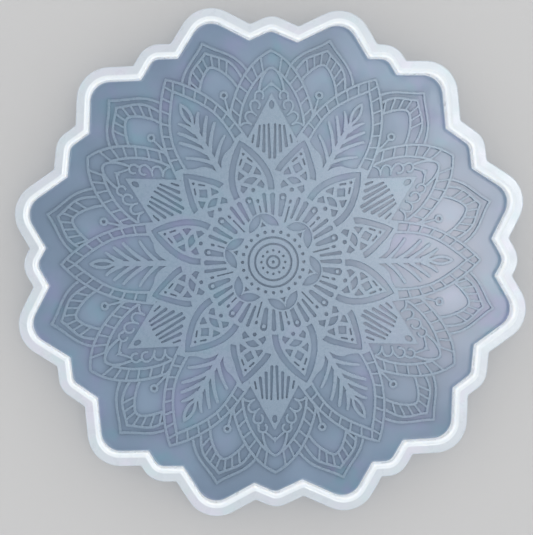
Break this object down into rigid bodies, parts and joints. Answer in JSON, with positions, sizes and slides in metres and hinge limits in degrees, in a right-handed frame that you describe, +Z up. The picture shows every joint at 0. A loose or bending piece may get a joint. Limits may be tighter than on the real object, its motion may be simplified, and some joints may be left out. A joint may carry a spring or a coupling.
{
  "type": "resin casting mould",
  "caption": "Flat lobed silicone mould with an upright rim and a raised mandala pattern on its floor, for casting engraved resin trays and coasters.",
  "frame": {"origin": "centre of the underside", "axes": "+Z up, out of the open cavity; +X along one feather axis of the pattern; +Y completes a right-handed frame"},
  "size_m": [0.2056, 0.2035, 0.01],
  "materials": {
    "clear_silicone": "smooth glossy translucent silicone",
    "rim_silicone": "smooth milky translucent silicone",
    "frosted_silicone": "fine matte frosted silicone relief"
  },
  "bodies": {
    "root": {"floor_sheet": "clear_silicone", "rim_wall": "rim_silicone", "centre_medallion": "frosted_silicone", "flower_petals": "frosted_silicone", "ray_ring": "frosted_silicone", "lattice_petals_wide": "frosted_silicone", "lattice_petals_narrow": "frosted_silicone", "feather_leaves": "frosted_silicone", "feather_frames": "frosted_silicone", "fan_petals": "frosted_silicone", "fan_scrolls": "frosted_silicone", "fan_frames": "frosted_silicone", "corner_frames": "frosted_silicone", "ring_stalks": "frosted_silicone"}
  },
  "joints": []
}
